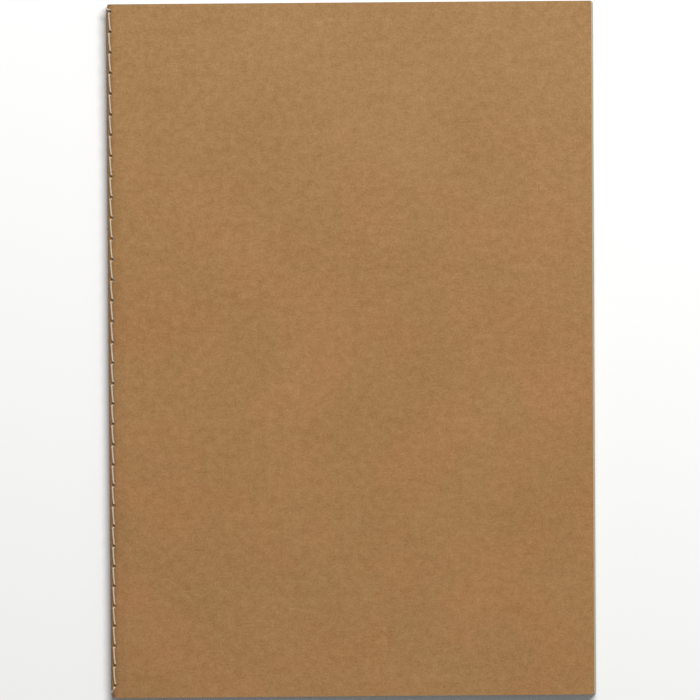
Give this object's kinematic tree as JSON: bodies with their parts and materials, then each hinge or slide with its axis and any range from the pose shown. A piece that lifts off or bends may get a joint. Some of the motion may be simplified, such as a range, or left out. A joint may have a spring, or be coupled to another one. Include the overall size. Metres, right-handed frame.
{
  "type": "pocket notebook",
  "caption": "Thread-sewn pocket notebook: blank cream leaves folded inside a plain kraft card cover, lock-stitched through the spine fold.",
  "frame": {"origin": "under the middle of the closed notebook, on the surface that it lies on", "axes": "+X from the spine to the fore edge, +Y from the tail to the head, +Z from the back cover up to the front cover"},
  "size_m": [0.104, 0.148, 0.0039],
  "materials": {
    "kraft_card": "matt uncoated kraft card with a fine fibre grain",
    "page_paper": "matt uncoated cream paper",
    "sewing_thread": "matt twisted cotton thread"
  },
  "bodies": {
    "back_cover": {"cover_back": "kraft_card", "cover_spine": "kraft_card", "sheet_folds": "page_paper", "needle_thread": "sewing_thread", "bobbin_thread": "sewing_thread"},
    "front_leaf_16": {"sheet_16_front_leaf": "page_paper"},
    "front_leaf_15": {"sheet_15_front_leaf": "page_paper"},
    "front_leaf_14": {"sheet_14_front_leaf": "page_paper"},
    "front_leaf_13": {"sheet_13_front_leaf": "page_paper"},
    "front_leaf_12": {"sheet_12_front_leaf": "page_paper"},
    "front_leaf_11": {"sheet_11_front_leaf": "page_paper"},
    "front_leaf_10": {"sheet_10_front_leaf": "page_paper"},
    "front_leaf_09": {"sheet_09_front_leaf": "page_paper"},
    "front_leaf_08": {"sheet_08_front_leaf": "page_paper"},
    "front_leaf_07": {"sheet_07_front_leaf": "page_paper"},
    "front_leaf_06": {"sheet_06_front_leaf": "page_paper"},
    "front_leaf_05": {"sheet_05_front_leaf": "page_paper"},
    "front_leaf_04": {"sheet_04_front_leaf": "page_paper"},
    "front_leaf_03": {"sheet_03_front_leaf": "page_paper"},
    "front_leaf_02": {"sheet_02_front_leaf": "page_paper"},
    "front_leaf_01": {"sheet_01_front_leaf": "page_paper"},
    "back_leaf_01": {"sheet_01_back_leaf": "page_paper"},
    "back_leaf_02": {"sheet_02_back_leaf": "page_paper"},
    "back_leaf_03": {"sheet_03_back_leaf": "page_paper"},
    "back_leaf_04": {"sheet_04_back_leaf": "page_paper"},
    "back_leaf_05": {"sheet_05_back_leaf": "page_paper"},
    "back_leaf_06": {"sheet_06_back_leaf": "page_paper"},
    "back_leaf_07": {"sheet_07_back_leaf": "page_paper"},
    "back_leaf_08": {"sheet_08_back_leaf": "page_paper"},
    "back_leaf_09": {"sheet_09_back_leaf": "page_paper"},
    "back_leaf_10": {"sheet_10_back_leaf": "page_paper"},
    "back_leaf_11": {"sheet_11_back_leaf": "page_paper"},
    "back_leaf_12": {"sheet_12_back_leaf": "page_paper"},
    "back_leaf_13": {"sheet_13_back_leaf": "page_paper"},
    "back_leaf_14": {"sheet_14_back_leaf": "page_paper"},
    "back_leaf_15": {"sheet_15_back_leaf": "page_paper"},
    "back_leaf_16": {"sheet_16_back_leaf": "page_paper"},
    "front_cover": {"cover_front": "kraft_card"}
  },
  "joints": [
    {"name": "centre_opening", "type": "hinge", "parent": "back_cover", "child": "front_leaf_16", "pos_m": [-0.0499, 0, 0.00192], "axis": [0, 1, 0], "range_deg": [-179, 0], "deforming": ["cover_spine", "sheet_folds", "needle_thread", "bobbin_thread"]},
    {"name": "front_leaf_15_turn", "type": "hinge", "parent": "back_cover", "child": "front_leaf_15", "pos_m": [-0.0499, 0, 0.00192], "axis": [0, 1, 0], "range_deg": [-178.5, 0]},
    {"name": "front_leaf_14_turn", "type": "hinge", "parent": "back_cover", "child": "front_leaf_14", "pos_m": [-0.0499, 0, 0.00192], "axis": [0, 1, 0], "range_deg": [-178.01, 0]},
    {"name": "front_leaf_13_turn", "type": "hinge", "parent": "back_cover", "child": "front_leaf_13", "pos_m": [-0.0499, 0, 0.00192], "axis": [0, 1, 0], "range_deg": [-177.51, 0]},
    {"name": "front_leaf_12_turn", "type": "hinge", "parent": "back_cover", "child": "front_leaf_12", "pos_m": [-0.0499, 0, 0.00192], "axis": [0, 1, 0], "range_deg": [-177.01, 0]},
    {"name": "front_leaf_11_turn", "type": "hinge", "parent": "back_cover", "child": "front_leaf_11", "pos_m": [-0.0499, 0, 0.00192], "axis": [0, 1, 0], "range_deg": [-176.51, 0]},
    {"name": "front_leaf_10_turn", "type": "hinge", "parent": "back_cover", "child": "front_leaf_10", "pos_m": [-0.0499, 0, 0.00192], "axis": [0, 1, 0], "range_deg": [-176.02, 0]},
    {"name": "front_leaf_09_turn", "type": "hinge", "parent": "back_cover", "child": "front_leaf_09", "pos_m": [-0.0499, 0, 0.00192], "axis": [0, 1, 0], "range_deg": [-175.52, 0]},
    {"name": "front_leaf_08_turn", "type": "hinge", "parent": "back_cover", "child": "front_leaf_08", "pos_m": [-0.0499, 0, 0.00192], "axis": [0, 1, 0], "range_deg": [-175.02, 0]},
    {"name": "front_leaf_07_turn", "type": "hinge", "parent": "back_cover", "child": "front_leaf_07", "pos_m": [-0.0499, 0, 0.00192], "axis": [0, 1, 0], "range_deg": [-174.53, 0]},
    {"name": "front_leaf_06_turn", "type": "hinge", "parent": "back_cover", "child": "front_leaf_06", "pos_m": [-0.0499, 0, 0.00192], "axis": [0, 1, 0], "range_deg": [-174.03, 0]},
    {"name": "front_leaf_05_turn", "type": "hinge", "parent": "back_cover", "child": "front_leaf_05", "pos_m": [-0.0499, 0, 0.00192], "axis": [0, 1, 0], "range_deg": [-173.53, 0]},
    {"name": "front_leaf_04_turn", "type": "hinge", "parent": "back_cover", "child": "front_leaf_04", "pos_m": [-0.0499, 0, 0.00192], "axis": [0, 1, 0], "range_deg": [-173.03, 0]},
    {"name": "front_leaf_03_turn", "type": "hinge", "parent": "back_cover", "child": "front_leaf_03", "pos_m": [-0.0499, 0, 0.00192], "axis": [0, 1, 0], "range_deg": [-172.54, 0]},
    {"name": "front_leaf_02_turn", "type": "hinge", "parent": "back_cover", "child": "front_leaf_02", "pos_m": [-0.0499, 0, 0.00192], "axis": [0, 1, 0], "range_deg": [-172.04, 0]},
    {"name": "front_leaf_01_turn", "type": "hinge", "parent": "back_cover", "child": "front_leaf_01", "pos_m": [-0.0499, 0, 0.00192], "axis": [0, 1, 0], "range_deg": [-171.54, 0]},
    {"name": "back_leaf_01_turn", "type": "hinge", "parent": "back_cover", "child": "back_leaf_01", "pos_m": [-0.0499, 0, 0.00192], "axis": [0, 1, 0], "range_deg": [-7.96, 0]},
    {"name": "back_leaf_02_turn", "type": "hinge", "parent": "back_cover", "child": "back_leaf_02", "pos_m": [-0.0499, 0, 0.00192], "axis": [0, 1, 0], "range_deg": [-7.46, 0]},
    {"name": "back_leaf_03_turn", "type": "hinge", "parent": "back_cover", "child": "back_leaf_03", "pos_m": [-0.0499, 0, 0.00192], "axis": [0, 1, 0], "range_deg": [-6.96, 0]},
    {"name": "back_leaf_04_turn", "type": "hinge", "parent": "back_cover", "child": "back_leaf_04", "pos_m": [-0.0499, 0, 0.00192], "axis": [0, 1, 0], "range_deg": [-6.46, 0]},
    {"name": "back_leaf_05_turn", "type": "hinge", "parent": "back_cover", "child": "back_leaf_05", "pos_m": [-0.0499, 0, 0.00192], "axis": [0, 1, 0], "range_deg": [-5.97, 0]},
    {"name": "back_leaf_06_turn", "type": "hinge", "parent": "back_cover", "child": "back_leaf_06", "pos_m": [-0.0499, 0, 0.00192], "axis": [0, 1, 0], "range_deg": [-5.47, 0]},
    {"name": "back_leaf_07_turn", "type": "hinge", "parent": "back_cover", "child": "back_leaf_07", "pos_m": [-0.0499, 0, 0.00192], "axis": [0, 1, 0], "range_deg": [-4.97, 0]},
    {"name": "back_leaf_08_turn", "type": "hinge", "parent": "back_cover", "child": "back_leaf_08", "pos_m": [-0.0499, 0, 0.00192], "axis": [0, 1, 0], "range_deg": [-4.48, 0]},
    {"name": "back_leaf_09_turn", "type": "hinge", "parent": "back_cover", "child": "back_leaf_09", "pos_m": [-0.0499, 0, 0.00192], "axis": [0, 1, 0], "range_deg": [-3.98, 0]},
    {"name": "back_leaf_10_turn", "type": "hinge", "parent": "back_cover", "child": "back_leaf_10", "pos_m": [-0.0499, 0, 0.00192], "axis": [0, 1, 0], "range_deg": [-3.48, 0]},
    {"name": "back_leaf_11_turn", "type": "hinge", "parent": "back_cover", "child": "back_leaf_11", "pos_m": [-0.0499, 0, 0.00192], "axis": [0, 1, 0], "range_deg": [-2.98, 0]},
    {"name": "back_leaf_12_turn", "type": "hinge", "parent": "back_cover", "child": "back_leaf_12", "pos_m": [-0.0499, 0, 0.00192], "axis": [0, 1, 0], "range_deg": [-2.49, 0]},
    {"name": "back_leaf_13_turn", "type": "hinge", "parent": "back_cover", "child": "back_leaf_13", "pos_m": [-0.0499, 0, 0.00192], "axis": [0, 1, 0], "range_deg": [-1.99, 0]},
    {"name": "back_leaf_14_turn", "type": "hinge", "parent": "back_cover", "child": "back_leaf_14", "pos_m": [-0.0499, 0, 0.00192], "axis": [0, 1, 0], "range_deg": [-1.49, 0]},
    {"name": "back_leaf_15_turn", "type": "hinge", "parent": "back_cover", "child": "back_leaf_15", "pos_m": [-0.0499, 0, 0.00192], "axis": [0, 1, 0], "range_deg": [-0.995, 0]},
    {"name": "back_leaf_16_turn", "type": "hinge", "parent": "back_cover", "child": "back_leaf_16", "pos_m": [-0.0499, 0, 0.00192], "axis": [0, 1, 0], "range_deg": [-0.498, 0]},
    {"name": "front_cover_hinge", "type": "hinge", "parent": "front_leaf_16", "child": "front_cover", "pos_m": [-0.0494, 0, 0.00394], "axis": [0, -1, 0], "range_deg": [0, 179]}
  ],
  "couplings": [
    {"joint": "front_leaf_15_turn", "follows": "centre_opening", "ratio": 0.99722},
    {"joint": "front_leaf_14_turn", "follows": "centre_opening", "ratio": 0.99444},
    {"joint": "front_leaf_13_turn", "follows": "centre_opening", "ratio": 0.99167},
    {"joint": "front_leaf_12_turn", "follows": "centre_opening", "ratio": 0.98889},
    {"joint": "front_leaf_11_turn", "follows": "centre_opening", "ratio": 0.98611},
    {"joint": "front_leaf_10_turn", "follows": "centre_opening", "ratio": 0.98333},
    {"joint": "front_leaf_09_turn", "follows": "centre_opening", "ratio": 0.98056},
    {"joint": "front_leaf_08_turn", "follows": "centre_opening", "ratio": 0.97778},
    {"joint": "front_leaf_07_turn", "follows": "centre_opening", "ratio": 0.975},
    {"joint": "front_leaf_06_turn", "follows": "centre_opening", "ratio": 0.97222},
    {"joint": "front_leaf_05_turn", "follows": "centre_opening", "ratio": 0.96944},
    {"joint": "front_leaf_04_turn", "follows": "centre_opening", "ratio": 0.96667},
    {"joint": "front_leaf_03_turn", "follows": "centre_opening", "ratio": 0.96389},
    {"joint": "front_leaf_02_turn", "follows": "centre_opening", "ratio": 0.96111},
    {"joint": "front_leaf_01_turn", "follows": "centre_opening", "ratio": 0.95833},
    {"joint": "back_leaf_01_turn", "follows": "centre_opening", "ratio": 0.044444},
    {"joint": "back_leaf_02_turn", "follows": "centre_opening", "ratio": 0.041666},
    {"joint": "back_leaf_03_turn", "follows": "centre_opening", "ratio": 0.038888},
    {"joint": "back_leaf_04_turn", "follows": "centre_opening", "ratio": 0.036111},
    {"joint": "back_leaf_05_turn", "follows": "centre_opening", "ratio": 0.033333},
    {"joint": "back_leaf_06_turn", "follows": "centre_opening", "ratio": 0.030555},
    {"joint": "back_leaf_07_turn", "follows": "centre_opening", "ratio": 0.027777},
    {"joint": "back_leaf_08_turn", "follows": "centre_opening", "ratio": 0.025},
    {"joint": "back_leaf_09_turn", "follows": "centre_opening", "ratio": 0.022222},
    {"joint": "back_leaf_10_turn", "follows": "centre_opening", "ratio": 0.019444},
    {"joint": "back_leaf_11_turn", "follows": "centre_opening", "ratio": 0.016666},
    {"joint": "back_leaf_12_turn", "follows": "centre_opening", "ratio": 0.013888},
    {"joint": "back_leaf_13_turn", "follows": "centre_opening", "ratio": 0.011111},
    {"joint": "back_leaf_14_turn", "follows": "centre_opening", "ratio": 0.008333},
    {"joint": "back_leaf_15_turn", "follows": "centre_opening", "ratio": 0.005555},
    {"joint": "back_leaf_16_turn", "follows": "centre_opening", "ratio": 0.002777}
  ]
}
